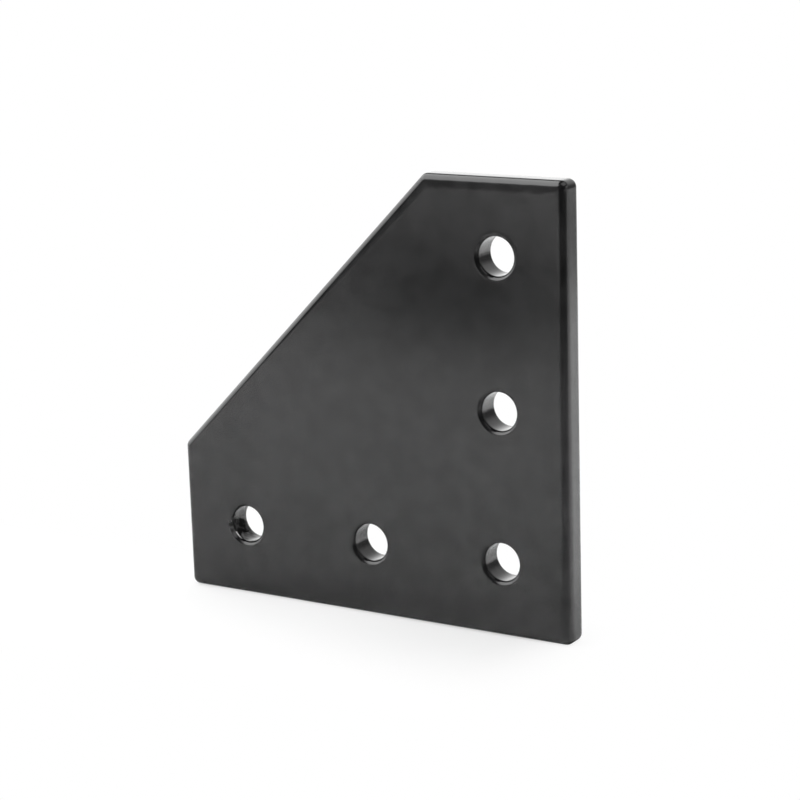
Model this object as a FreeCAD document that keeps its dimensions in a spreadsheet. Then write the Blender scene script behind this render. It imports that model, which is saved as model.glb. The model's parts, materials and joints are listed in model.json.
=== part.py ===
import FreeCAD, Part
import math
import os
from enum import IntEnum

import Sketcher

# Right-angle joining plate for two 20 mm slotted profiles.
# The plate is one piece, cut from 4 mm stock: a square with one corner taken off at 45 degrees,
# five screw holes along its two full edges, every outer edge rounded and every hole mouth chamfered.
# It stands on its lower edge, with the front face towards -Y and the square corner at +X.
# The origin is at the middle of the lower edge, on the plane that the plate stands on, and +Z is up.
# All sizes are in millimetres.

# Driving sizes

SIZES = {
    "hole_pitch": (20.0, "from one screw hole to the next, which is the width of the profile"),
    "edge_distance": (10.0, "from the two full edges, and from the arms' ends, to the hole centres"),
    "end_width": (20.5, "straight end of each arm, before the slanted edge starts"),
    "thickness": (4.0, "from the front face to the back face"),
    "edge_radius": (1.1, "rounding of every outer edge and corner"),
    "hole_diameter": (5.2, "clearance for an M5 screw"),
    "mouth_width": (0.5, "how far the flat chamfer at both mouths of each hole reaches from the wall"),
    "mouth_depth": (0.3, "how far that chamfer reaches down the wall"),
}
HOLES_PER_ARM = 3

# The part of the wall that one rounding or one chamfer may take, so that two always leave some of it flat.
WALL_SHARE = 0.45

# The lengths below follow from the driving sizes.
ARM_LENGTH = f"({HOLES_PER_ARM - 1} * Sizes.hole_pitch + 2 * Sizes.edge_distance)"
CORNER_HOLE_X = f"({ARM_LENGTH} / 2 - Sizes.edge_distance)"
EDGE_ROUNDING = f"min(Sizes.edge_radius; {WALL_SHARE} * Sizes.thickness)"
MOUTH_DEPTH = f"min(Sizes.mouth_depth; {WALL_SHARE} * Sizes.thickness)"


class Point(IntEnum):
    """The numbers by which a constraint names a line's ends, a circle's centre and the sketch's origin."""

    START = 1
    END = 2
    CENTRE = 3
    ORIGIN = 1


class Axis(IntEnum):
    """The numbers by which a constraint names the two axes of its sketch."""

    X = -1
    Z = -2


def add_sizes(doc):
    """Puts each driving size in a row of the sheet: its name, its value and what it measures."""
    sheet = doc.addObject("Spreadsheet::Sheet", "Sizes")
    for row, (name, (value, meaning)) in enumerate(SIZES.items(), start=1):
        sheet.set(f"A{row}", name)
        sheet.set(f"B{row}", str(value))
        sheet.setAlias(f"B{row}", name)
        sheet.set(f"C{row}", meaning)
    doc.recompute()
    return sheet


def upright_sketch(body, name):
    """A sketch in the plate's middle plane: its first axis is +X, its second +Z, its normal -Y."""
    plane = next(item for item in body.Origin.OriginFeatures if item.Role == "XZ_Plane")
    sketch = body.newObject("Sketcher::SketchObject", name)
    sketch.AttachmentSupport = [(plane, "")]
    sketch.MapMode = "FlatFace"
    return sketch


def bind_constraint(sketch, constraint, name, expression):
    """Adds a named dimension to the sketch and ties it to the sheet."""
    index = sketch.addConstraint(constraint)
    sketch.renameConstraint(index, name)
    sketch.setExpression(f"Constraints.{name}", expression)


def draw_outline(body, sheet):
    """The plate's outline: a square standing on the X axis, with its upper left corner cut off."""
    arm = (HOLES_PER_ARM - 1) * sheet.hole_pitch + 2 * sheet.edge_distance
    left, right, end = -arm / 2, arm / 2, sheet.end_width
    corners = [
        FreeCAD.Vector(left, 0, 0),
        FreeCAD.Vector(right, 0, 0),
        FreeCAD.Vector(right, arm, 0),
        FreeCAD.Vector(right - end, arm, 0),
        FreeCAD.Vector(left, end, 0),
    ]
    sketch = upright_sketch(body, "plate_outline")
    foot, back_edge, head, slant, toe = [
        sketch.addGeometry(Part.LineSegment(corner, following))
        for corner, following in zip(corners, corners[1:] + corners[:1])
    ]
    loop = [foot, back_edge, head, slant, toe]
    for line, following in zip(loop, loop[1:] + loop[:1]):
        sketch.addConstraint(Sketcher.Constraint("Coincident", line, Point.END, following, Point.START))
    sketch.addConstraint(Sketcher.Constraint("Symmetric", foot, Point.START, foot, Point.END, Axis.Z))
    sketch.addConstraint(Sketcher.Constraint("PointOnObject", foot, Point.START, Axis.X))
    sketch.addConstraint(Sketcher.Constraint("Horizontal", head))
    sketch.addConstraint(Sketcher.Constraint("Vertical", back_edge))
    sketch.addConstraint(Sketcher.Constraint("Vertical", toe))
    foot_length = Sketcher.Constraint("DistanceX", foot, Point.START, foot, Point.END, arm)
    bind_constraint(sketch, foot_length, "foot_length", ARM_LENGTH)
    back_length = Sketcher.Constraint("DistanceY", back_edge, Point.START, back_edge, Point.END, arm)
    bind_constraint(sketch, back_length, "back_length", ARM_LENGTH)
    head_width = Sketcher.Constraint("DistanceX", head, Point.END, head, Point.START, end)
    bind_constraint(sketch, head_width, "head_width", "Sizes.end_width")
    toe_height = Sketcher.Constraint("DistanceY", toe, Point.END, toe, Point.START, end)
    bind_constraint(sketch, toe_height, "toe_height", "Sizes.end_width")
    return sketch


def cut_blank(doc, body, sheet):
    """The flat blank, as thick as the stock, half of it on each side of the middle plane."""
    blank = body.newObject("PartDesign::Pad", "blank")
    blank.Profile = draw_outline(body, sheet)
    blank.SideType = "Symmetric"
    blank.setExpression("Length", "Sizes.thickness")
    doc.recompute()
    return blank


def round_outer_edges(doc, body, blank):
    """One rounding for both rims and the five corners, which meet in ball-shaped tips."""
    rounding = body.newObject("PartDesign::Fillet", "rounded_edges")
    rounding.Base = (blank, [""])
    rounding.UseAllEdges = True
    rounding.setExpression("Radius", EDGE_ROUNDING)
    doc.recompute()
    return rounding


def draw_corner_hole(body, sheet):
    """The circle of the hole in the square corner, drawn on the front face."""
    sketch = upright_sketch(body, "corner_hole_circle")
    sketch.setExpression("AttachmentOffset.Base.z", "Sizes.thickness / 2")
    across = (HOLES_PER_ARM - 1) * sheet.hole_pitch / 2
    centre = FreeCAD.Vector(across, sheet.edge_distance, 0)
    circle = sketch.addGeometry(Part.Circle(centre, FreeCAD.Vector(0, 0, 1), sheet.hole_diameter / 2))
    origin = (Axis.X, Point.ORIGIN)
    from_middle = Sketcher.Constraint("DistanceX", *origin, circle, Point.CENTRE, centre.x)
    bind_constraint(sketch, from_middle, "from_middle", CORNER_HOLE_X)
    above_foot = Sketcher.Constraint("DistanceY", *origin, circle, Point.CENTRE, centre.y)
    bind_constraint(sketch, above_foot, "above_foot", "Sizes.edge_distance")
    width = Sketcher.Constraint("Diameter", circle, sheet.hole_diameter)
    bind_constraint(sketch, width, "width", "Sizes.hole_diameter")
    return sketch


def drill_corner_hole(doc, body, sheet):
    """The plain screw hole in the square corner, through the whole plate."""
    hole = body.newObject("PartDesign::Hole", "corner_hole")
    hole.Profile = draw_corner_hole(body, sheet)
    doc.recompute()
    hole.ThreadType = "None"
    hole.DepthType = "ThroughAll"
    hole.DrillPoint = "Flat"
    hole.setExpression("Diameter", "Sizes.hole_diameter")
    doc.recompute()
    return hole


def repeat_hole(doc, body, hole, name, axis, reverse):
    """Repeats the corner hole along one full edge, at the pitch of the profiles' slots."""
    row = body.newObject("PartDesign::LinearPattern", name)
    row.Originals = [hole]
    row.Direction = (hole.Profile[0], [axis])
    row.Reversed = reverse
    row.Mode = "Spacing"
    row.setExpression("Offset", "Sizes.hole_pitch")
    row.Occurrences = HOLES_PER_ARM
    body.Tip = row
    doc.recompute()
    return row


def hole_mouths(shape, radius):
    """The names of the full circles where the holes meet the plate's two faces."""
    full_circle = 2 * math.pi * radius
    return [
        f"Edge{number}"
        for number, edge in enumerate(shape.Edges, start=1)
        if edge.isClosed() and math.isclose(edge.Length, full_circle, rel_tol=1e-6)
    ]


def chamfer_mouths(doc, body, holes, sheet):
    """The same chamfer on the front and back mouth of each hole, wider than it is deep."""
    chamfer = body.newObject("PartDesign::Chamfer", "chamfered_mouths")
    chamfer.Base = (holes, hole_mouths(holes.Shape, sheet.hole_diameter / 2))
    chamfer.ChamferType = "Two distances"
    chamfer.setExpression("Size", "Sizes.mouth_width")
    chamfer.setExpression("Size2", MOUTH_DEPTH)
    body.Tip = chamfer
    doc.recompute()
    return chamfer


def check_removed(before, after, expected, what):
    """Stops where a cut took away another volume than its sizes give."""
    removed = before.Shape.Volume - after.Shape.Volume
    if not math.isclose(removed, expected, rel_tol=1e-3):
        raise ValueError(f"{what} took away {removed:.3f} mm3 instead of {expected:.3f} mm3")
    print(f"{what}: {removed:.1f} mm3 removed")


def make_joining_plate(doc, sheet):
    """The plate: blank, rounded outer edges, two rows of holes that share the corner hole, chamfers."""
    body = doc.addObject("PartDesign::Body", "JoiningPlate")
    body.Label = "joining_plate"
    blank = cut_blank(doc, body, sheet)
    rounded = round_outer_edges(doc, body, blank)
    hole = drill_corner_hole(doc, body, sheet)
    repeat_hole(doc, body, hole, "upright_arm_holes", "V_Axis", False)
    holes = repeat_hole(doc, body, hole, "foot_arm_holes", "H_Axis", True)
    hole_count = 2 * HOLES_PER_ARM - 1
    bore_volume = math.pi * sheet.hole_diameter**2 / 4 * sheet.thickness
    check_removed(rounded, holes, hole_count * bore_volume, "screw holes")
    chamfered = chamfer_mouths(doc, body, holes, sheet)
    width, depth = sheet.mouth_width, min(sheet.mouth_depth, WALL_SHARE * sheet.thickness)
    ring_volume = math.pi * width * depth * (sheet.hole_diameter / 2 + width / 3)
    check_removed(holes, chamfered, 2 * hole_count * ring_volume, "mouth chamfers")
    return body


def check_document(doc, bodies):
    """Stops where a feature failed, or a piece is missing, broken or not one solid."""
    for item in doc.Objects:
        if "Invalid" in item.State or "Error" in item.State:
            raise ValueError(f"{item.Label} failed: {item.State}")
    for body in bodies:
        if body.Shape.isNull() or not body.Shape.isValid() or len(body.Shape.Solids) != 1:
            raise ValueError(f"{body.Label} isn't one valid solid")


def write_parts(bodies):
    """Writes each piece to its own file, named after its label."""
    os.makedirs("parts", exist_ok=True)
    for body in bodies:
        body.Shape.exportStep(f"parts/{body.Label}.step")
        box = body.Shape.BoundBox
        print(f"{body.Label}: {box.XLength:.2f} x {box.YLength:.2f} x {box.ZLength:.2f} mm")
        print(f"{body.Label}: {body.Shape.Volume:.1f} mm3")


def main():
    """Builds the plate and writes its file."""
    doc = FreeCAD.newDocument("joining_plate")
    sheet = add_sizes(doc)
    bodies = [make_joining_plate(doc, sheet)]
    doc.recompute()
    check_document(doc, bodies)
    write_parts(bodies)


main()
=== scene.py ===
# %% [markdown]
# A right-angle joining plate for slotted profiles, as it stands in a white studio.
# The real plate is one piece of 4 mm aluminium: cut to its outline, drilled, tumbled until its edges
# are round, and coated black. Its looks are in three things, which the cells below take in turn: the
# soft form of its edges and hole mouths, the smooth black coat, and what that coat mirrors.
# The packed model gives the places and sizes, so nothing here is fitted afterwards.

# %% Load the packed plate
import json
import math

import bmesh
import bpy
import numpy as np
from mathutils import Matrix, Vector


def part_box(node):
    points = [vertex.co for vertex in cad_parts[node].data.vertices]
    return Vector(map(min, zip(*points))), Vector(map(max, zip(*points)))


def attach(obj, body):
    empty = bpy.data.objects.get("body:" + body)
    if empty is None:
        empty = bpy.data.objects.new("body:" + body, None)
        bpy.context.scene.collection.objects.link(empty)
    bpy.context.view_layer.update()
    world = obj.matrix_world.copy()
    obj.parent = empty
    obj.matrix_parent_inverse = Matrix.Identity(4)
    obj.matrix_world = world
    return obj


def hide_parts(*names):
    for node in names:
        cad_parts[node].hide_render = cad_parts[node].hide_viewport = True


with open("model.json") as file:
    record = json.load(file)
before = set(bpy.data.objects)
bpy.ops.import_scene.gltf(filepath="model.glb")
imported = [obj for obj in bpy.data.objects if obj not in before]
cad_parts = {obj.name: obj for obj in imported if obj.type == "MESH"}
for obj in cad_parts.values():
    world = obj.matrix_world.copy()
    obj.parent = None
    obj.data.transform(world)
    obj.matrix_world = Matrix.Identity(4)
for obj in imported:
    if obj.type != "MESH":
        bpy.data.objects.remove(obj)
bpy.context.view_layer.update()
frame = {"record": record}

# %% [markdown]
# The record that comes with the packed model lists the plate's mounts, and the five screw holes are
# among them. Each has a point on its axis and a radius, from which the coat takes its own thickness.

# %% Sizes from the packed model
MM = 0.001
PLATE = "joining_plate"

plate_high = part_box(PLATE)[1]
half_width, half_thickness, height = plate_high

bores = [mount for mount in frame["record"]["mounts"] if mount["kind"] == "bore"]
hole_centres = {bore["name"]: np.array([bore["pos_m"][0], bore["pos_m"][2]]) for bore in bores}
coat_thickness = 0.08 * MM
hole_radius = bores[0]["dims"]["r_mm"] * MM - coat_thickness
corner_hole = hole_centres["corner_hole"]
TORN_HOLE = "foot_arm_end_hole"
pitch = hole_centres["upright_arm_middle_hole"][1] - corner_hole[1]
print(len(bores), "coated holes of radius", round(hole_radius, 6), "m, at a pitch of", round(pitch, 6), "m")

# %% [markdown]
# Two sizes of the solid aren't in its record: the width of the arms' straight ends, which is a little
# more than that of the profile, and the rounding of the outer edges.
# The rounding of a tumbled edge doesn't start at a line. The flat face first leans a little, then turns
# faster, until it has the full radius. The profile below has that lean, and it draws the soft dark line
# just inside the plate's edges. A circle's arc alone would start too hard.

# %% The profile of a worn edge
end_width = 20.5 * MM
edge_radius = 1.1 * MM
LEAN_TURN = math.radians(4)
FINE_STEPS = 4000
EDGE_POINTS = 25


def turned_line(radius_of, stops):
    """Run and drop of a line, at the angles it has turned by, where its radius is a function of that angle.

    They are the running sums of the radius times the cosine and the sine of the angle.
    """
    fine = np.linspace(0, stops[-1], FINE_STEPS + 1)
    middle = (fine[1:] + fine[:-1]) / 2
    pieces = np.diff(fine) * radius_of(middle) * np.stack([np.cos(middle), np.sin(middle)])
    sums = np.concatenate([np.zeros((2, 1)), np.cumsum(pieces, axis=1)], axis=1)
    return np.stack([np.interp(stops, fine, row) for row in sums])


edge_stops = math.pi / 2 * np.linspace(0, 1, EDGE_POINTS) ** 2
arc_run, arc_drop = turned_line(np.ones_like, edge_stops)
lean_run, lean_drop = turned_line(lambda angle: np.exp(-angle / LEAN_TURN) / LEAN_TURN, edge_stops)
print("Each mm of lean lengthens the rounding by", round(lean_run[-1], 3), "mm")

# %% [markdown]
# The face is a flat sheet with five holes, which no single grid can cover. So it is laid as a tiler
# would lay it: a square tile round each hole, and a triangular tile between the two arms.
# A square tile is a surface of two parameters, the place along its border and the way from the hole's
# ring out to that border. Neighbouring tiles have the same points on their common border, and so has
# the strip that runs round the plate's edge, so that all of them close to one skin.

# %% Where the tiles meet
mesh_step = 0.55 * MM
border = 2.5 * MM
ring_radius = 4.4 * MM
SIDES = 5


def steps_between(start, end):
    """Points from start up to, but not including, end, at even steps of about the mesh step."""
    start, end = np.array(start, float), np.array(end, float)
    count = max(1, round(float(np.linalg.norm(end - start)) / mesh_step))
    return start + (end - start) * np.arange(count)[:, None] / count


def outline_corners(inset):
    """The outline's five corners, anticlockwise from the lower left, each moved inwards by the inset.

    A square corner moves by the inset along both axes. The two ends of the slanted edge turn by 45
    degrees, so they move by the inset along one axis and by inset times tan(22.5 degrees) along the other.
    """
    half, slant = half_width - inset, inset * math.tan(math.pi / 8)
    return np.array([
        (-half, inset),
        (half, inset),
        (half, height - inset),
        (half_width - end_width + slant, height - inset),
        (-half, end_width - slant),
    ])


foot_left, foot_right, head_right, head_left, toe = outline_corners(border)
seam_x = corner_hole[0] - pitch / 2
seam_z = corner_hole[1] + pitch / 2
slant_rise = head_left[1] - head_left[0]
slant_top = np.array([seam_x, seam_x + slant_rise])
slant_foot = np.array([seam_z - slant_rise, seam_z])

# %% Square tiles round the holes
tile_corners = {
    "corner_hole": [(seam_x, border), foot_right, (foot_right[0], seam_z), (seam_x, seam_z)],
    "upright_arm_middle_hole": [
        (seam_x, seam_z),
        (foot_right[0], seam_z),
        (foot_right[0], seam_z + pitch),
        (seam_x, seam_z + pitch),
    ],
    "upright_arm_end_hole": [
        (seam_x, seam_z + pitch),
        (foot_right[0], seam_z + pitch),
        head_right,
        head_left,
        slant_top,
    ],
    "foot_arm_middle_hole": [
        (seam_x - pitch, border),
        (seam_x, border),
        (seam_x, seam_z),
        (seam_x - pitch, seam_z),
    ],
    "foot_arm_end_hole": [
        foot_left,
        (seam_x - pitch, border),
        (seam_x - pitch, seam_z),
        slant_foot,
        toe,
    ],
}


def chain(corners):
    """Points along the straight stretches from each corner to the next, and from the last to the first."""
    return np.concatenate([steps_between(*pair) for pair in zip(corners, [*corners[1:], corners[0]])])


def square_tile(centre, corners, rings=9):
    """Rings from the circle round a hole to the tile's border, and the angles of their points.

    At the share t of the way, a point is (1 - t) times the circle's point plus t times the border's point.
    """
    outer = chain(corners)
    angle = np.arctan2(*(outer - centre).T[::-1])
    circle = centre + ring_radius * np.stack([np.cos(angle), np.sin(angle)], axis=1)
    share = np.linspace(0, 1, rings + 1)[:, None, None]
    return (1 - share) * circle + share * outer, angle


tiles = {name: square_tile(hole_centres[name], corners) for name, corners in tile_corners.items()}
print(len(tiles), "square tiles")

# %% Triangular tile between the arms
# Row i is the upright seam's point i, and its points keep the foot seam's spacing, drawn in towards the
# upright seam as the row gets shorter. The last row has no length, and is merged to one point.
foot_seam = [(seam_x, seam_z), (seam_x - pitch, seam_z), slant_foot]
upright_seam = [(seam_x, seam_z), (seam_x, seam_z + pitch), slant_top]
along_foot = np.concatenate([*map(steps_between, foot_seam[:2], foot_seam[1:]), [slant_foot]])[:, 0]
up_arm = np.concatenate([*map(steps_between, upright_seam[:2], upright_seam[1:]), [slant_top]])[:, 1]
left_over = (slant_top[1] - up_arm) / (slant_top[1] - seam_z)
triangle = np.stack([
    seam_x - (seam_x - along_foot) * left_over[:, None],
    np.broadcast_to(up_arm[:, None], (len(up_arm), len(along_foot))),
], axis=2)
print("One triangular tile of", triangle.shape[:2], "points")

# %% [markdown]
# The plate's edge is a profile carried along its outline. On a straight side the profile only moves
# along. At a corner it fans out: its points that lie further in than the rounding's radius stay on the
# corner of the inset outline, and the rest turn about that corner, which gives the ball-shaped tips.

# %% The path round the outline
FAN_STEPS = 10
slant_points = np.stack([up_arm[::-1] - slant_rise, up_arm[::-1]], axis=1)
side_points = [
    np.concatenate([
        steps_between(foot_left, (seam_x - pitch, border)),
        steps_between((seam_x - pitch, border), (seam_x, border)),
        steps_between((seam_x, border), foot_right),
        [foot_right],
    ]),
    np.concatenate([
        steps_between(foot_right, (foot_right[0], seam_z)),
        steps_between((foot_right[0], seam_z), (foot_right[0], seam_z + pitch)),
        steps_between((foot_right[0], seam_z + pitch), head_right),
        [head_right],
    ]),
    np.concatenate([steps_between(head_right, head_left), [head_left]]),
    np.concatenate([
        steps_between(head_left, slant_top),
        slant_points,
        steps_between(slant_foot, toe)[1:],
        [toe],
    ]),
    np.concatenate([steps_between(toe, foot_left), [foot_left]]),
]


def outline_path():
    """For each place: the side it lies on, its share of that side, and the angle of the way outwards."""
    corners = outline_corners(border)
    sides, shares, angles = [], [], []
    for number, points in enumerate(side_points):
        start, end = corners[number], corners[(number + 1) % SIDES]
        after = corners[(number + 2) % SIDES]
        share = np.linalg.norm(points - start, axis=1) / np.linalg.norm(end - start)
        outward = math.atan2(start[0] - end[0], end[1] - start[1])
        turn = (math.atan2(*(after - end)[::-1]) - math.atan2(*(end - start)[::-1])) % (2 * math.pi)
        fan = outward + turn * np.arange(1, FAN_STEPS) / FAN_STEPS
        sides.append(np.full(len(points) + len(fan), number))
        shares.append(np.concatenate([share, np.ones(len(fan))]))
        angles.append(np.concatenate([np.full(len(points), outward), fan]))
    return np.concatenate(sides), np.concatenate(shares), np.concatenate(angles)


side_of, share_of, angle_of = outline_path()
print(len(side_of), "places on the path round the outline")

# %% [markdown]
# Each hole's mouth was cut with a flat countersink and then tumbled. So it starts with a small rounding,
# goes down a short slope, and turns over a larger rounding into the wall. The slope mirrors the soft
# boxes, which draws the thin ring of light below each hole. The larger rounding mirrors only the hole's
# own dark wall, which draws the black line inside that ring.
# The profile below is laid from the tile's ring to the middle of the plate. Turned round the hole's axis
# and mirrored, it lines the hole.

# %% Profile of a hole's mouth
start_rounding = 0.15 * MM
lip_rounding = 0.6 * MM
slope_turn, slope_spread = math.radians(33), math.radians(1.5)
slope_length = 0.2 * MM
POINTS_BEFORE_SLOPE, POINTS_AFTER_SLOPE = 6, 14


def mouth_radius_of(angle):
    """The start's radius, then the lip's, and between them a peak of which the area is the slope's length."""
    peak = np.exp(-(((angle - slope_turn) / slope_spread) ** 2)) / (slope_spread * math.sqrt(math.pi))
    return np.where(angle < slope_turn, start_rounding, lip_rounding) + slope_length * peak


before_slope = np.linspace(0, slope_turn - 2 * slope_spread, POINTS_BEFORE_SLOPE)
after_slope = np.linspace(slope_turn + 2 * slope_spread, math.pi / 2, POINTS_AFTER_SLOPE)
mouth_run, mouth_drop = turned_line(mouth_radius_of, np.concatenate([before_slope, after_slope]))
mouth_radius = hole_radius + mouth_run[-1]


def mouth_profile(wall_steps=9, flat_steps=3):
    """Distances from the hole's axis, and depths below the face, from the tile's ring to the mid-plane.

    The parts in order: the flat face, the mouth and the straight wall.
    """
    flat = np.linspace(ring_radius, mouth_radius, flat_steps + 1)[:-1]
    wall = np.linspace(mouth_drop[-1], half_thickness, wall_steps + 1)[1:]
    distance = np.concatenate([flat, mouth_radius - mouth_run, np.full(wall_steps, hole_radius)])
    return distance, np.concatenate([np.zeros(flat_steps), mouth_drop, wall])


mouth_reach, mouth_depth = round(mouth_run[-1] / MM, 3), round(mouth_drop[-1] / MM, 3)
print("A mouth reaches", mouth_reach, "mm from the wall and", mouth_depth, "mm down")

# %% [markdown]
# How far the lean reaches in from the edge differs from side to side, and it wavers along each of them,
# as an edge does that was deburred by hand before it was tumbled. It is widest at the top, along the head
# and the upper end of the slanted edge, and nearly nothing where that edge meets the toe.
# It has to stop short of the border, because the skin would fold at the corners if it went beyond it.

# %% Lean along the outline
# The lean at the start and the end of each side, in the order foot, right, head, slant and toe.
side_lean = np.array([(0.7, 0.7), (0.5, 0.24), (0.85, 0.85), (2.2, 0.1), (0.4, 0.4)]) * MM
most_lean = border - edge_radius - 0.35 * MM
lean_blend = 3 * MM
FALL_POWER = 4
WAVER_SEED = 3
WAVER_COUNT = 6
FEWEST_PER_SIDE, MOST_PER_SIDE = 3.0, 11.0
waver_share = 0.22
side_length = np.linalg.norm(np.roll(outline_corners(0), -1, axis=0) - outline_corners(0), axis=1)


def lean_along_path():
    """The lean at each place: its side's lean, blended near the corners, times a waver, and limited.

    At the share s of a side it is end + (start - end) * (1 - s) ** 4. The waver is 1 plus a sum of seeded
    sines of the sides travelled, which all come back to their start after the five sides.
    """
    before, after = side_lean[side_of - 1, 1], side_lean[(side_of + 1) % SIDES, 0]
    start, end = side_lean[side_of].T
    own = end + (start - end) * (1 - share_of) ** FALL_POWER
    length = side_length[side_of]
    at_start = np.clip(1 - share_of * length / lean_blend, 0, 1) / 2
    at_end = np.clip(1 - (1 - share_of) * length / lean_blend, 0, 1) / 2
    blended = own + at_start * (before - own) + at_end * (after - own)
    random = np.random.default_rng(WAVER_SEED)
    cycles = np.round(SIDES * random.uniform(FEWEST_PER_SIDE, MOST_PER_SIDE, WAVER_COUNT)) / SIDES
    travelled = (side_of + share_of)[:, None] * cycles + random.uniform(size=WAVER_COUNT)
    waver = 1 + waver_share * np.sin(2 * math.pi * travelled).sum(axis=1) / math.sqrt(WAVER_COUNT)
    return np.minimum(blended * waver, most_lean)


lean_of = lean_along_path()
print("The lean reaches from", round(lean_of.min() / MM, 2), "to", round(lean_of.max() / MM, 2), "mm")

# %% Profile of the plate's edge
def edge_profile(flat_steps=4, side_steps=3):
    """Insets from the outline, and depths below the face, of each profile point at each place.

    A row is a point of the profile and a column is a place. The inset is the lean's run plus the arc's.
    """
    run = edge_radius * arc_run[:, None] + lean_of * lean_run[:, None]
    drop = edge_radius * arc_drop[:, None] + lean_of * lean_drop[:, None]
    share = np.linspace(0, 1, flat_steps + 1)[:-1, None]
    flat = border + (run[-1] - border) * share
    side = drop[-1] + (half_thickness - drop[-1]) * np.linspace(0, 1, side_steps + 1)[1:, None]
    inset = np.concatenate([flat, run[-1] - run, np.zeros_like(side)])
    return inset, np.concatenate([np.zeros_like(flat), drop, side])


edge_inset, edge_depth = edge_profile()
print("The edge's profile has", len(edge_inset), "points")

# %% Grids of points
def grid_points(flat_points, depth):
    """Places in the plate's plane, with their depths below the front face, as points in the room."""
    depth = np.broadcast_to(depth, flat_points.shape[:-1])
    return np.stack([flat_points[..., 0], depth - half_thickness, flat_points[..., 1]], axis=-1)


def hole_grid(centre, angle):
    """The mouth's profile turned round a hole: centre + distance * (cos angle, sin angle), at each depth."""
    distance, depth = mouth_profile()
    direction = np.stack([np.cos(angle), np.sin(angle)], axis=1)
    return grid_points(centre + distance[:, None, None] * direction, depth[:, None])


def edge_grid():
    """The edge's profile carried round the outline.

    A point at the inset r lies on the outline that is moved inwards by the larger of r and the edge's
    radius, at its share of its side, and then outwards by what is missing to r.
    """
    kept = np.maximum(edge_inset, edge_radius)
    origin = outline_corners(0)
    growth = (outline_corners(border) - origin) / border
    start = origin[side_of] + kept[..., None] * growth[side_of]
    following = (side_of + 1) % SIDES
    end = origin[following] + kept[..., None] * growth[following]
    outward = np.stack([np.cos(angle_of), np.sin(angle_of)], axis=1)
    flat_points = start + (end - start) * share_of[:, None] + (kept - edge_inset)[..., None] * outward
    return grid_points(flat_points, edge_depth)


grids = [(grid_points(triangle, 0), False), (edge_grid(), True)]
for name, (rings, angle) in tiles.items():
    grids.append((grid_points(rings, 0), True))
    grids.append((hole_grid(hole_centres[name], angle), True))
print(sum(points.shape[0] * points.shape[1] for points, closed in grids), "points on one half of the skin")

# %% [markdown]
# All those grids, and their mirror images behind the mid-plane, go into one mesh. Points that lie on
# each other are merged, which closes the seams and shrinks the fans' centres to poles, and then the
# faces are turned outwards, which the mirrored half needs.

# %% One closed skin
merge_distance = 0.002 * MM


def grid_faces(rows, columns, closed):
    """Four-sided faces between neighbouring rows and columns. Closed joins the last column to the first."""
    number = np.arange(rows * columns).reshape(rows, columns)
    across = np.roll(number, -1, axis=1) if closed else number[:, 1:]
    near = number if closed else number[:, :-1]
    return np.stack([near[:-1], across[:-1], across[1:], near[1:]], axis=-1).reshape(-1, 4)


def closed_skin(name, grids):
    """A mesh of all the grids and their mirror images, merged to one closed surface that faces outwards."""
    points, faces, count = [], [], 0
    for grid, closed in grids:
        for side in (1, -1):
            points.append(grid.reshape(-1, 3) * (1, side, 1))
            faces.append(grid_faces(*grid.shape[:2], closed) + count)
            count += len(points[-1])
    mesh = bpy.data.meshes.new(name)
    mesh.from_pydata(np.concatenate(points), [], np.concatenate(faces))
    work = bmesh.new()
    work.from_mesh(mesh)
    bmesh.ops.remove_doubles(work, verts=work.verts, dist=merge_distance)
    bmesh.ops.recalc_face_normals(work, faces=work.faces)
    work.to_mesh(mesh)
    open_edges = sum(not edge.is_manifold for edge in work.edges)
    print(name, "has", len(work.faces), "faces and", open_edges, "open edges")
    print(name, "has a volume of", work.calc_volume(), "m3")
    work.free()
    return mesh


skin_mesh = closed_skin("plate_skin", grids)

# %% [markdown]
# No cut and tumbled plate is perfectly flat. Its faces wave by a hundredth of a millimetre or two over
# some centimetres, too little to see in the outline and enough to bend a reflection. Here a few sine
# waves in different directions, chosen by a seeded generator, push the skin inwards along its normals.
# They only go inwards, so that the plate stays within its packed size.

# %% Faint waves in the faces
WAVE_SEED = 7
WAVE_COUNT = 7
SHORTEST_WAVE, LONGEST_WAVE = 0.8, 1.6
wave_depth = 0.02 * MM
wave_length = 17 * MM


def directions(random, count):
    """That many unit vectors in all directions, from a seeded generator."""
    direction = random.normal(size=(count, 3))
    return direction / np.linalg.norm(direction, axis=1)[:, None]


def inward_waves(points):
    """Between 0 and 1 at each point: half of 1 plus the mean of some sines.

    Each sine is that of direction . point / length + phase, in whole turns.
    """
    random = np.random.default_rng(WAVE_SEED)
    direction = directions(random, WAVE_COUNT)
    length = wave_length * random.uniform(SHORTEST_WAVE, LONGEST_WAVE, WAVE_COUNT)
    cycles = points @ direction.T / length + random.uniform(size=WAVE_COUNT)
    return (1 + np.sin(2 * math.pi * cycles).mean(axis=1)) / 2


def vector_array(vectors, field):
    """A field of all points or all normals of a mesh, as an array of three columns."""
    values = np.empty(3 * len(vectors), np.float32)
    vectors.foreach_get(field, values)
    return values.reshape(-1, 3).astype(float)


skin_points = vector_array(skin_mesh.vertices, "co")
skin_normals = vector_array(skin_mesh.vertex_normals, "vector")
wave = inward_waves(skin_points)
skin_points -= wave_depth * wave[:, None] * skin_normals
print("The waves reach", round(float(np.ptp(wave)) * wave_depth / MM, 4), "mm from crest to trough")

# %% [markdown]
# In one of the five holes, the last one of the foot's arm, the drill has torn the metal instead of
# cutting it, and the coat over the tear is lumpy. The lumps are pushed in and out of the wall there.
# They are short waves again, because a wave's height and length are easy to measure on a real tear.

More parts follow.
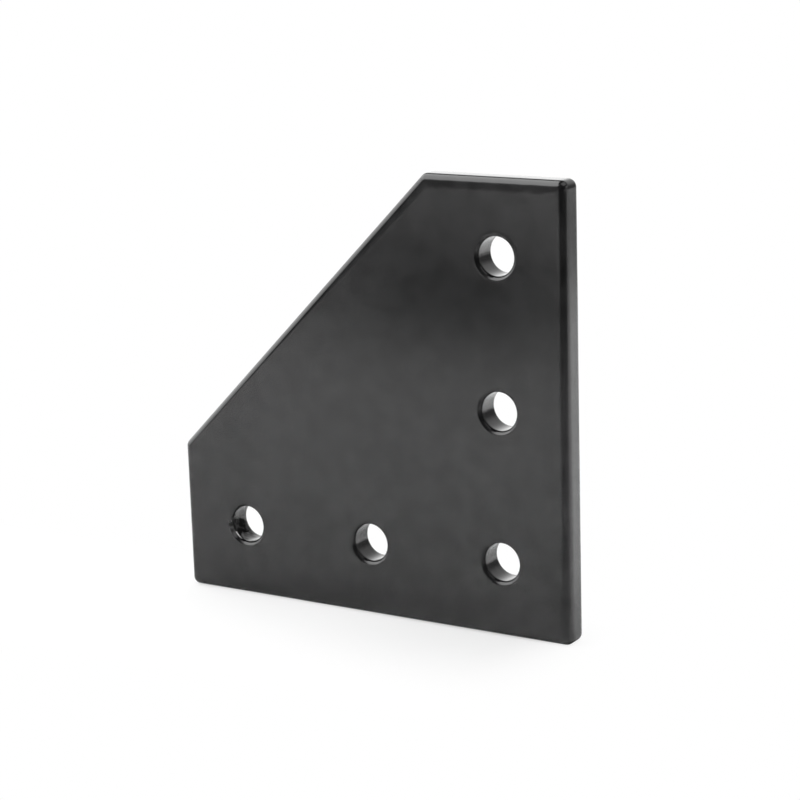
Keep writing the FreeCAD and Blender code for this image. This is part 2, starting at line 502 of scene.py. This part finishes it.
# %% A torn hole wall
TEAR_SEED = 11
LUMP_COUNT = 24
SHORTEST_LUMP, LONGEST_LUMP = 0.6, 1.6
torn_centre = hole_centres[TORN_HOLE]
tear_height = 0.014 * MM
tear_length = 0.8 * MM
wall_margin = 0.02 * MM
tear_start, tear_calms, tear_fade = 150, 235, 30
calmed_by = 0.6


def tear_share(points):
    """How torn the wall is, by the angle round the hole in degrees.

    It is full from the wall's left to its foot, less on the right of the foot, and nothing elsewhere.
    """
    across = points[:, [0, 2]] - torn_centre
    angle = np.degrees(np.arctan2(across[:, 1], across[:, 0])) % 360
    on_wall = np.linalg.norm(across, axis=1) < hole_radius + wall_margin
    rise = np.clip((angle - tear_start) / tear_fade, 0, 1)
    return on_wall * rise * (1 - calmed_by * np.clip((angle - tear_calms) / tear_fade, 0, 1))


def lumps(points):
    """Between about -1 and 1 at each point: a sum of sines of short waves in all directions."""
    random = np.random.default_rng(TEAR_SEED)
    direction = directions(random, LUMP_COUNT)
    length = tear_length * random.uniform(SHORTEST_LUMP, LONGEST_LUMP, LUMP_COUNT)
    cycles = points @ direction.T / length + random.uniform(size=LUMP_COUNT)
    return np.sin(2 * math.pi * cycles).sum(axis=1) / math.sqrt(LUMP_COUNT)


tear = tear_share(skin_points)
skin_points += tear_height * (tear * lumps(skin_points))[:, None] * skin_normals
print(int((tear > 0).sum()), "points of the skin lie in the tear")

# %% Finished skin
skin_mesh.vertices.foreach_set("co", skin_points.astype(np.float32).ravel())
skin_mesh.shade_smooth()
skin_mesh.update()
plate_skin = bpy.data.objects.new("plate_skin", skin_mesh)
bpy.context.scene.collection.objects.link(plate_skin)
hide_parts(PLATE)
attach(plate_skin, "root")
print(plate_skin.name, "takes the place of", PLATE)

# %% [markdown]
# The finishes are node networks, and their arithmetic reads best as arithmetic. The class below wraps a
# node's output, so that mask * 0.3 + 0.1 adds the two Math nodes that say so. Every other node is added
# by its one method, which takes the node's type, its settings, and the values or links of its sockets.

# %% Shader maths
class Signal:
    """A node's output. The sums, products and quotients of signals and numbers add Math nodes to its tree."""

    def __init__(self, tree, socket):
        self.tree = tree
        self.socket = socket

    @classmethod
    def node(cls, tree, kind, settings=None, inputs=None, output=0):
        """A new node of a kind, its settings made first and its inputs then given values or links."""
        made = tree.nodes.new("ShaderNode" + kind)
        for name, value in (settings or {}).items():
            setattr(made, name, value)
        for name, value in (inputs or {}).items():
            if isinstance(value, Signal):
                tree.links.new(value.socket, made.inputs[name])
            else:
                made.inputs[name].default_value = value
        return cls(tree, made.outputs[output])

    def math(self, operation, first, second):
        return Signal.node(self.tree, "Math", {"operation": operation}, {0: first, 1: second})

    def vector_math(self, operation, second, output=0):
        return Signal.node(self.tree, "VectorMath", {"operation": operation}, {0: self, 1: second}, output)

    def __add__(self, other):
        return self.math("ADD", self, other)

    def __radd__(self, other):
        return self.math("ADD", other, self)

    def __sub__(self, other):
        return self.math("SUBTRACT", self, other)

    def __rsub__(self, other):
        return self.math("SUBTRACT", other, self)

    def __mul__(self, other):
        return self.math("MULTIPLY", self, other)

    def __rmul__(self, other):
        return self.math("MULTIPLY", other, self)

    def __truediv__(self, other):
        return self.math("DIVIDE", self, other)

    def angle_with(self, other):
        """The angle, in radians, whose tangent is this signal divided by the other."""
        return self.math("ARCTAN2", self, other)

    def distance_to(self, point):
        """How far a vector is from a point."""
        return self.vector_math("DISTANCE", point, "Value")

    def smooth(self, start, end):
        """0 up to start, 1 from end on, and a smooth step between them."""
        limits = {"Value": self, "From Min": start, "From Max": end}
        return Signal.node(self.tree, "MapRange", {"interpolation_type": "SMOOTHSTEP"}, limits)

    def fading(self, start, end):
        """1 up to start, 0 from end on, and a smooth step between them."""
        return 1 - self.smooth(start, end)


def split(vector):
    """The three parts of a vector signal."""
    node = Signal.node(vector.tree, "SeparateXYZ", inputs={"Vector": vector}).socket.node
    return [Signal(vector.tree, output) for output in node.outputs]


def object_place(tree):
    """The Object coordinates of the point that is shaded, in metres."""
    return Signal.node(tree, "TexCoord", output="Object")


def noise(place, swings_per_metre, detail=2.0):
    """Smooth random values between about 0 and 1."""
    inputs = {"Vector": place, "Scale": swings_per_metre, "Detail": detail}
    return Signal.node(place.tree, "TexNoise", inputs=inputs)


def grey(brightness):
    """A colour socket's value for a neutral grey."""
    return (brightness, brightness, brightness, 1)


def mix_colours(share, first, second):
    """The first colour where the share is 0 and the second where it is 1.

    A Mix node's colours are its sockets 6 and 7, and its mixed colour is its output 2.
    """
    return Signal.node(share.tree, "Mix", {"data_type": "RGBA"}, {0: share, 6: first, 7: second}, output=2)


def mix_shaders(share, first, second):
    """The first shader where the share is 0 and the second where it is 1."""
    return Signal.node(first.tree, "MixShader", inputs={0: share, 1: first, 2: second})


def new_material(name):
    """A material with no nodes yet."""
    material = bpy.data.materials.new(name)
    material.use_nodes = True
    material.node_tree.nodes.clear()
    return material, material.node_tree


def shade_with(shader, output="OutputMaterial"):
    """Joins a shader to a new output of its tree."""
    made = shader.tree.nodes.new("ShaderNode" + output)
    shader.tree.links.new(shader.socket, made.inputs["Surface"])


methods = [name for name in vars(Signal) if not name.startswith("_")]
print("Besides arithmetic, a signal has the methods", methods)

# %% [markdown]
# The coat is a thin dark film on bare metal, smooth enough to mirror soft shapes and not sharp ones.
# Its own colour is close to black, so nearly all that shows is what it mirrors. The film is denser than
# plain lacquer, which the index of refraction says. Small differences in its colour and its gloss, and a
# grain far finer than a millimetre, keep it from looking like poured plastic.

# %% Black coat
CLOUD_SWINGS, MOTTLE_SWINGS, GRAIN_SWINGS = 90.0, 380.0, 2500.0
FILM_INDEX = 1.7
deep_black, pale_black = (0.002, 0.002, 0.0021, 1), (0.011, 0.011, 0.0113, 1)
mottle_range = (0.3, 0.7)
least_roughness, more_roughness = 0.13, 0.05
grain_height, grain_strength = 0.01 * MM, 0.2

coat, tree = new_material("black_coat")
place = object_place(tree)
cloud = noise(place, CLOUD_SWINGS, detail=3.0)
mottle = noise(place, MOTTLE_SWINGS)
grain = noise(place, GRAIN_SWINGS)
relief = {"Height": grain, "Strength": grain_strength, "Distance": grain_height}
coat_inputs = {
    "Base Color": mix_colours(mottle.smooth(*mottle_range), deep_black, pale_black),
    "Roughness": least_roughness + more_roughness * cloud,
    "Normal": Signal.node(tree, "Bump", inputs=relief),
    "IOR": FILM_INDEX,
}
coat_shader = Signal.node(tree, "BsdfPrincipled", inputs=coat_inputs)
print("The plain coat has", len(tree.nodes), "nodes")

# %% [markdown]
# Over the torn wall the film is broken: dull, speckled metal shows from the wall's left towards its foot
# and on the lip beside it, and at one place of the lip the coat has chipped off bright. Each of these is a
# mask in the coat's own network. It is said in the hole's terms, which are the turn from the hole's left
# towards its foot, the distance from its axis and the depth, so it can be checked against the real hole.
# A short noise is added to the turn and the depth, which makes the borders ragged.

# %% Places of the worn coat
RAGGED_SWINGS, SPECK_SWINGS = 1100.0, 1500.0
ragged_turn, ragged_depth, ragged_chip = 0.9, 2.2 * MM, 0.25
wall_starts, wall_ends = (-0.06, 0.02), (0.8, 0.9)
lip_starts, lip_ends = (0.0, 0.1), (0.85, 1.0)
chip_starts, chip_ends = (0.55, 0.67), (0.8, 1.15)
chip_inside = (hole_radius + 0.01 * MM, hole_radius + 0.03 * MM)
chip_outside = (hole_radius + 0.05 * MM, hole_radius + 0.08 * MM)
wall_outside = (hole_radius + wall_margin, hole_radius + 4 * wall_margin)
lip_outside = (mouth_radius - 0.1 * MM, mouth_radius)
lip_depth, wall_depth = (-1.0 * MM, -0.8 * MM), (0.7 * MM, 1.1 * MM)

sideways, forwards, upwards = split(place)
from_left = (torn_centre[1] - upwards).angle_with(torn_centre[0] - sideways)
from_axis = place.vector_math("MULTIPLY", (1, 0, 1)).distance_to((torn_centre[0], 0, torn_centre[1]))
ragged = noise(place, RAGGED_SWINGS, detail=3.0) - 0.5
speck = noise(place, SPECK_SWINGS)
torn_turn = from_left + ragged_turn * ragged
torn_depth = forwards + ragged_depth * ragged
chip_turn = from_left + ragged_chip * ragged

in_wall = from_axis.fading(*wall_outside)
in_lip = (1 - in_wall) * from_axis.fading(*lip_outside)
in_front = forwards.fading(*lip_depth)
torn_wall = torn_turn.smooth(*wall_starts) * torn_turn.fading(*wall_ends)
torn_wall = torn_wall * in_wall * torn_depth.fading(*wall_depth)
torn_lip = torn_turn.smooth(*lip_starts) * torn_turn.fading(*lip_ends) * in_lip * in_front
chipped = from_axis.smooth(*chip_inside) * from_axis.fading(*chip_outside)
chipped = chipped * chip_turn.smooth(*chip_starts) * chip_turn.fading(*chip_ends) * in_front
print("The tear ends", round(math.degrees(wall_ends[1])), "degrees below the hole's left")

# %% Worn coat
wall_grey, lip_grey, speck_grey, bare_grey = grey(0.016), grey(0.025), grey(0.1), grey(0.9)
wall_specks, lip_specks = (0.45, 0.8), (0.35, 0.65)
wall_colour = mix_colours(speck.smooth(*wall_specks), wall_grey, speck_grey)
lip_colour = mix_colours(speck.smooth(*lip_specks), lip_grey, speck_grey)
torn_colour = mix_colours(in_wall, lip_colour, wall_colour)
torn_metal = Signal.node(tree, "BsdfDiffuse", inputs={"Color": torn_colour})
bare_metal = Signal.node(tree, "BsdfDiffuse", inputs={"Color": bare_grey})
worn_shader = mix_shaders(torn_wall + torn_lip, coat_shader, torn_metal)
shade_with(mix_shaders(chipped, worn_shader, bare_metal))
skin_mesh.materials.append(coat)
print("The worn coat has", len(tree.nodes), "nodes")

# %% [markdown]
# The studio is a white table under soft light. Near the plate the floor is a pale matt surface that takes
# the plate's soft shadow, and part of its white is painted on, as an evenly lit table would show it.
# Further out it passes into that white altogether, which also is the room's colour near the horizon.
# A floor of one matt white would need so much light to look white that the plate would be washed out.
# The room is white up to 18 degrees and nearly dark above 32, where only lamps are mirrored.

# %% White floor
FLOOR_REACH = 6.0
floor_grey = 0.93
matt_share, matt_gain, matt_gain_range = 0.32, 0.13, (-10 * MM, 15 * MM)
front_fade, back_fade = (10 * MM, 36 * MM), (-2 * MM, 10 * MM)
right_fade, round_fade = (20 * MM, 34 * MM), (60 * MM, 100 * MM)
mirrored_rise = (30 * MM, 250 * MM)


def lying_corners(left, right, front, back, level):
    """The corners of a level rectangle, anticlockwise from its front left one."""
    return [(left, front, level), (right, front, level), (right, back, level), (left, back, level)]


def flat_sheet(name, corners, paint):
    """A painted sheet with one face through its corners."""
    mesh = bpy.data.meshes.new(name)
    mesh.from_pydata(corners, [], [range(len(corners))])
    mesh.materials.append(paint)
    made = bpy.data.objects.new(name, mesh)
    bpy.context.scene.collection.objects.link(made)
    return made


def matt_seen(place):
    """How much of the matt floor shows, with the shadow on it: some in front of the plate, none elsewhere."""
    sideways, forwards, _ = split(place)
    across = sideways.fading(*right_fade) * place.distance_to((0, 0, 0)).fading(*round_fade)
    along = (0 - forwards).fading(*front_fade) * forwards.fading(*back_fade)
    return across * along * (matt_share + matt_gain * sideways.smooth(*matt_gain_range))


floor_paint, tree = new_material("white_floor")
place = object_place(tree)
seen = Signal.node(tree, "LightPath", output="Is Camera Ray")
mirrored_white = place.distance_to((0, 0, 0)).smooth(*mirrored_rise)
painted = seen * (1 - matt_seen(place)) + (1 - seen) * mirrored_white
matt = Signal.node(tree, "BsdfDiffuse", inputs={"Color": grey(floor_grey)})
white = Signal.node(tree, "Emission", inputs={"Color": grey(1), "Strength": 1.0})
shade_with(mix_shaders(painted, matt, white))
floor_corners = lying_corners(-FLOOR_REACH, FLOOR_REACH, -FLOOR_REACH, FLOOR_REACH, 0)
floor = flat_sheet("floor", floor_corners, floor_paint)
print("The floor measures", list(floor.dimensions), "m")

# %% Room
sweep_low, sweep_high = math.sin(math.radians(18)), math.sin(math.radians(32))
ceiling_loss = 0.93
world = bpy.data.worlds.new("studio")
bpy.context.scene.world = world
world.use_nodes = True
tree = world.node_tree
tree.nodes.clear()
rise = split(Signal.node(tree, "TexCoord", output="Generated"))[2]
room_light = 1 - ceiling_loss * rise.smooth(sweep_low, sweep_high)
shade_with(Signal.node(tree, "Background", inputs={"Color": grey(1), "Strength": room_light}), "OutputWorld")
print("The room is white up to", round(math.degrees(math.asin(sweep_low))), "degrees")

# %% [markdown]
# A black coat shows its lamps more than its colour, so they are placed by what the plate's edges mirror.
# The rounded top edge mirrors the room to the left, from the horizon to 58 degrees up: there hangs the wide
# soft box. Under it stands a paler screen, which the slanted edge's rounding mirrors. The flat top mirrors
# what is low behind the plate: there stands a bright screen. A dim box high in front draws the ring of
# light below each hole, and one under the ceiling adds to it and to the upper right corner's tip.
# Glowing sheets do this better than lamps, because their brightness can fade from one end to the other.
# One lamp from above lights the floor, and nothing mirrors it.

# %% Sheets of the studio
def stage_sheet(name, corners, paint):
    """A flat sheet that belongs to the studio and that the camera doesn't see."""
    made = flat_sheet(name, corners, paint)
    made.visible_camera = False
    print(name, "measures", [round(side, 3) for side in made.dimensions], "m")
    return made


def standing_corners(start, end, low, high):
    """The corners of an upright rectangle over the line from start to end."""
    return [(*start, low), (*end, low), (*end, high), (*start, high)]


def glowing_sheet(name, corners, radiance_of):
    """A sheet whose glow is a function of Object coordinates."""
    paint, tree = new_material(name)
    strength = radiance_of(object_place(tree))
    shade_with(Signal.node(tree, "Emission", inputs={"Color": grey(1), "Strength": strength}))
    return stage_sheet(name, corners, paint)


def only_mirrored(sheet):
    """Keeps a sheet out of the matt surfaces' light and shadow."""
    sheet.visible_diffuse = sheet.visible_shadow = False


# %% Box and screen on the left
left_x, left_front, left_back = -0.95, -1.1, 0.45
sheet_foot = 0.002
box_foot, box_top_x, box_top = 0.38, -0.32, 1.0
screen_top = 0.36
box_glow, box_rise = 2.8, (-1.15, -0.75)
screen_gain, screen_rise = 0.9, (-0.85, -0.5)


def box_radiance(place):
    """Brightest in the middle of the box and behind it, and fading towards its front end."""
    return box_glow * split(place)[1].smooth(*box_rise)


def screen_radiance(place):
    """As bright as the room at its front end, and nearly twice that further back."""
    return 1 + screen_gain * split(place)[1].smooth(*screen_rise)


left_corners = [
    (left_x, left_front, box_foot),
    (left_x, left_back, box_foot),
    (box_top_x, left_back, box_top),
    (box_top_x, left_front, box_top),
]
glowing_sheet("left_box", left_corners, box_radiance)
screen_corners = standing_corners((left_x, left_front), (left_x, left_back), sheet_foot, screen_top)
glowing_sheet("left_screen", screen_corners, screen_radiance)

# %% Boxes in front and above
front_glow, front_rise = 1.6, (0.72, 0.9)
front_loss, front_loss_range = 0.5, (-0.2, 0.4)
ceiling_glow, ceiling_rise = 0.9, (0.1, 0.25)


def front_radiance(place):
    """Fading out downwards, and to half on the right."""
    sideways, _, upwards = split(place)
    return front_glow * upwards.smooth(*front_rise) * (1 - front_loss * sideways.smooth(*front_loss_range))


def ceiling_radiance(place):
    """Even, but for a soft left border."""
    return ceiling_glow * split(place)[0].smooth(*ceiling_rise)


front_corners = standing_corners((-0.45, -0.9), (0.9, -0.9), 0.7, 1.5)
only_mirrored(glowing_sheet("front_box", front_corners, front_radiance))
ceiling_corners = lying_corners(0.1, 1.2, -0.5, 0.8, 1.05)
only_mirrored(glowing_sheet("ceiling_box", ceiling_corners, ceiling_radiance))

# %% Screen behind
rear_glow = 1.9
right_loss, right_loss_range = 0.8, (-0.5, 0.8)
high_loss, high_loss_range = 0.7, (0.3, 0.75)


def rear_radiance(place):
    """Brightest low on the left, and fading to the right and upwards."""
    sideways, _, upwards = split(place)
    across = 1 - right_loss * sideways.smooth(*right_loss_range)
    return rear_glow * across * (1 - high_loss * upwards.smooth(*high_loss_range))


rear_corners = standing_corners((left_x, 0.8), (0.6, 0.8), sheet_foot, 0.8)
glowing_sheet("rear_screen", rear_corners, rear_radiance)

# %% Lamp from above
fill_side, fill_radiance = 0.9, 1.8
fill_place, plate_middle = Vector((0.1, 0.0, 1.0)), Vector((0, 0, height / 2))
fill_light = bpy.data.lights.new("fill_lamp", "AREA")
fill_light.shape = "RECTANGLE"
fill_light.size, fill_light.size_y = fill_side, fill_side
fill_light.energy = fill_radiance * math.pi * fill_side**2
fill_lamp = bpy.data.objects.new("fill_lamp", fill_light)
fill_lamp.location = fill_place
fill_lamp.rotation_euler = (plate_middle - fill_place).to_track_quat("-Z", "Y").to_euler()
fill_lamp.visible_camera = fill_lamp.visible_glossy = False
bpy.context.scene.collection.objects.link(fill_lamp)
print("The lamp gives", round(fill_light.energy, 2), "W")

# %% [markdown]
# Black cards do the opposite. They lie and stand in front of the plate, where only its coat sees them,
# and their soft edges draw the dark parts of the front face and the dark line along its right edge.
# The lying ones have heights of their own, a tenth of a millimetre or less apart, so that none hides
# another, and all are so low that no line shows along the plate's foot.

# %% Dark cards
CARD_GLOW = 0.03
# The glow of the painted pool of light on the floor behind the plate.
LIGHT_POOL_GLOW = 2.0
level_step = 0.1 * MM


def card(name, corners, cover_of, radiance=CARD_GLOW):
    """A sheet that only the coat sees. It covers as much as a function of Object coordinates says."""
    paint, tree = new_material(name)
    cover = cover_of(object_place(tree))
    black = Signal.node(tree, "Emission", inputs={"Color": grey(1), "Strength": radiance})
    clear = Signal.node(tree, "BsdfTransparent")
    shade_with(mix_shaders(cover, clear, black))
    made = stage_sheet(name, corners, paint)
    only_mirrored(made)
    made.visible_transmission = False


def both(first, second):
    """The cover of two cards on each other: 1 - (1 - first) * (1 - second)."""
    return 1 - (1 - first) * (1 - second)


def round_card(name, centre, full, reach, cover, level, radiance=CARD_GLOW):
    """A lying card that covers fully within one radius and fades to nothing at another."""
    x, y = centre
    corners = lying_corners(x - reach, x + reach, y - reach, y + reach, level)
    card(name, corners, lambda place: cover * place.distance_to((x, y, level)).fading(full, reach), radiance)


round_card("wide_card", (0.35, -0.107), full=0.21, reach=0.47, cover=0.2, level=4 * level_step)
round_card("middle_card", (-0.031, -0.053), full=0.053, reach=0.137, cover=0.13, level=5 * level_step)
round_card("rear_card", (0.196, 0.277), full=0.021, reach=0.18, cover=0.5, level=6 * level_step)
# A painted pool of light on the floor behind the plate, to its right: a glowing sheet, no lamp, that only the
# coat mirrors.
light_pool_level = 7 * level_step
round_card("rear_paper", (0.097, 0.107), 0.064, 0.168, 0.45, light_pool_level, radiance=LIGHT_POOL_GLOW)

# %% [markdown]
# The dark part of the front face round the top hole is the mirror image of two round cards on the left.
# It gets paler beyond an upright line near the face's right edge. Where the camera sees a floor point
# mirrored in the face follows from the camera's own mirror image behind the face: the straight line from
# there to the floor point crosses the face at that place.

# %% Card on the left
eye_x, eye_y = 0.164, -0.2568
image_y = -2 * half_thickness - eye_y
left_level = 3 * level_step
near_centre, near_full, near_reach = (-0.076, -0.2204, left_level), 0.034, 0.094
far_centre, far_reach, far_share = (-0.1646, -0.2629, left_level), 0.073, 0.88
thinner_from, thinner_to, thinned_by = 0.0215, 0.0273, 0.39


def mirrored_at(place):
    """The place on the face, from left to right, at which the camera sees a floor point mirrored.

    It is eye_x + (sideways - eye_x) * t, where t is how much of the way to the floor point the face is at.
    """
    sideways, forwards, _ = split(place)
    return eye_x + (image_y + half_thickness) * (sideways - eye_x) / (image_y - forwards)


def left_cover(place):
    """A round card and a paler one further left, both thinner where the face's right part mirrors them."""
    near_card = place.distance_to(near_centre).fading(near_full, near_reach)
    far_card = far_share * place.distance_to(far_centre).fading(0.0, far_reach)
    return both(near_card, far_card) * (1 - thinned_by * mirrored_at(place).smooth(thinner_from, thinner_to))


card("left_card", lying_corners(-0.25, 0.02, -0.35, -0.12, left_level), left_cover)

# %% Card that the slanted edge mirrors
SLANT_SLOPE = 0.432
slant_point = (-0.138, -0.203)
slant_share, slant_start = 0.95, (0.22, 0.28)
strip_rise, strip_fade = (0.015, 0.05), (0.35, 0.5)
slant_level = 8 * level_step


def slant_cover(place):
    """A slanted strip, its right border as far out as the plate's slanted edge mirrors the floor."""
    sideways, forwards, _ = split(place)
    border_x = slant_point[0] + SLANT_SLOPE * (forwards - slant_point[1])
    inwards = border_x - sideways
    strip = inwards.smooth(*strip_rise) * inwards.fading(*strip_fade)
    return slant_share * strip * (0 - forwards).smooth(*slant_start)


card("slant_card", lying_corners(-0.8, -0.1, -0.419, -0.2, slant_level), slant_cover)

# %% Shade along the foot
wide_share, wide_loss, wide_loss_range = 0.2, 0.04, (-0.02, 0.01)
narrow_share = 0.1
wide_fade, narrow_fade = (0.01, 0.075), (0.004, 0.02)
foot_level = 2 * level_step


def foot_cover(place):
    """A strip of shade along the plate's foot, deeper on the left, and a narrower one on top of it."""
    sideways, forwards, _ = split(place)
    from_foot = 0 - forwards
    wide = (wide_share - wide_loss * sideways.smooth(*wide_loss_range)) * from_foot.fading(*wide_fade)
    return wide + narrow_share * from_foot.fading(*narrow_fade)


card("foot_card", lying_corners(-0.1, 0.06, -0.075, 0.001, foot_level), foot_cover)

# %% [markdown]
# The rounding of the right edge turns from the front to the right, so it mirrors a fan of the floor that
# starts at the plate's lower right corner. A dark sheet lies there, which only the coat mirrors: near the
# plate it is painted shade, the plate's shadow on the floor beside it. Its left border is a ray of that fan,
# bent a little near the plate and far from it, and it draws the edge's dark line with its soft left side.

# %% Painted shade on the right
floor_shade_level = 3.5 * level_step
floor_shade_corner = (half_width, -half_thickness, floor_shade_level)
bend_near, bend_far = 0.4, 0.25
near_fade, far_rise = (0.0, 0.045), (0.2, 0.33)
full_turn = (math.radians(-26), math.radians(-2))
thin_turn = (math.radians(-35), math.radians(-15))
last_turn = (math.radians(80), math.radians(100))
near_share, far_gain, thin_share = 0.54, 0.38, 0.2
gain_rise, thin_rise = (0.1, 0.25), (0.127, 0.21)


def floor_shade_cover(place):
    """A fan from the plate's lower right corner: nothing on its left, thicker further out, nothing behind."""
    sideways, forwards, _ = split(place)
    away = place.distance_to(floor_shade_corner)
    turned = (sideways - floor_shade_corner[0]).angle_with(floor_shade_corner[1] - forwards)
    turned = turned + bend_near * away.fading(*near_fade) - bend_far * away.smooth(*far_rise)
    full = turned.smooth(*full_turn) * (near_share + far_gain * away.smooth(*gain_rise))
    thin = thin_share * turned.smooth(*thin_turn) * away.smooth(*thin_rise)
    return both(full, thin) * turned.fading(*last_turn)


# Painted shade: the floor's shadow beside the plate, as a dark sheet that only the coat mirrors.
card("dark_cloth", lying_corners(-0.3, 0.7, -0.6, 0.3, floor_shade_level), floor_shade_cover)

# %% [markdown]
# Low down in front, the room's own white would show in the front face's rims. A standing card hides it,
# higher on the right, where the right edge mirrors more of the room, and another closes the right side.
# A third one stands behind, low on the right, for the lower parts of the holes' walls.

# %% Standing cards in front and on the right
wall_y, wall_right, wall_back, wall_top = -0.42, 1.5, 0.1, 1.4
left_rise, right_rise, top_fade = (-0.8, -0.6), (-0.2, 0.2), (0.2, 0.36)
left_share, middle_loss, middle_range = 0.95, 0.2, (-0.5, -0.3)
right_gain, height_gain = 0.25, 0.9
side_share = 0.95


def front_cover(place):
    """Thick up to the height that hides the white of the room, and thicker and higher on the right."""
    sideways, _, upwards = split(place)
    right = sideways.smooth(*right_rise)
    share = left_share - middle_loss * sideways.smooth(*middle_range) + right_gain * right
    return sideways.smooth(*left_rise) * share * (upwards - height_gain * right).fading(*top_fade)


front_wall = standing_corners((-wall_right, wall_y), (wall_right, wall_y), sheet_foot, wall_top)
card("front_card", front_wall, front_cover)
right_wall = standing_corners((wall_right, wall_y), (wall_right, wall_back), sheet_foot, wall_top)
card("right_card", right_wall, lambda place: side_share)

# %% Standing card behind
back_share, back_rise, back_top_fade = 0.75, (0.0, 0.2), (0.12, 0.3)


def back_cover(place):
    """Thicker to the right, and gone above the height that only the hole walls' lower parts mirror."""
    sideways, _, upwards = split(place)
    return back_share * sideways.smooth(*back_rise) * upwards.fading(*back_top_fade)


back_wall = standing_corners((-0.1, 0.55), (1.3, 0.15), sheet_foot, 0.5)
card("back_card", back_wall, back_cover)

# %% [markdown]
# The camera stands in front of the plate, a little to its right and above it, and looks along a long
# lens from close by. Its place was worked out from the plate's own corners and holes: the way their
# known sizes shrink in the picture gives the distance, the angles and the small roll.

# %% Camera
azimuth, elevation, roll = (math.radians(angle) for angle in (31.887, 13.469, -1.733))
aim = Vector((0.00422, 0, 0.02961))
distance = 0.31102
lens_length = 106.79
level = Vector((math.cos(azimuth), math.sin(azimuth), 0))
level_back = Vector((math.sin(azimuth), -math.cos(azimuth), 0))
back = level_back * math.cos(elevation) + Vector((0, 0, math.sin(elevation)))
up = back.cross(level)
right_axis = level * math.cos(roll) + up * math.sin(roll)
up_axis = up * math.cos(roll) - level * math.sin(roll)

camera_data = bpy.data.cameras.new("camera")
camera_data.lens = lens_length
camera_data.clip_start, camera_data.clip_end = 0.01, 20
camera = bpy.data.objects.new("camera", camera_data)
turned_axes = Matrix((right_axis, up_axis, back)).transposed().to_4x4()
camera.matrix_world = Matrix.Translation(aim + back * distance) @ turned_axes
bpy.context.scene.collection.objects.link(camera)
bpy.context.scene.camera = camera
print("The camera stands at", [round(part, 4) for part in aim + back * distance])

# %% Picture settings
bpy.context.scene.view_settings.view_transform = "Standard"
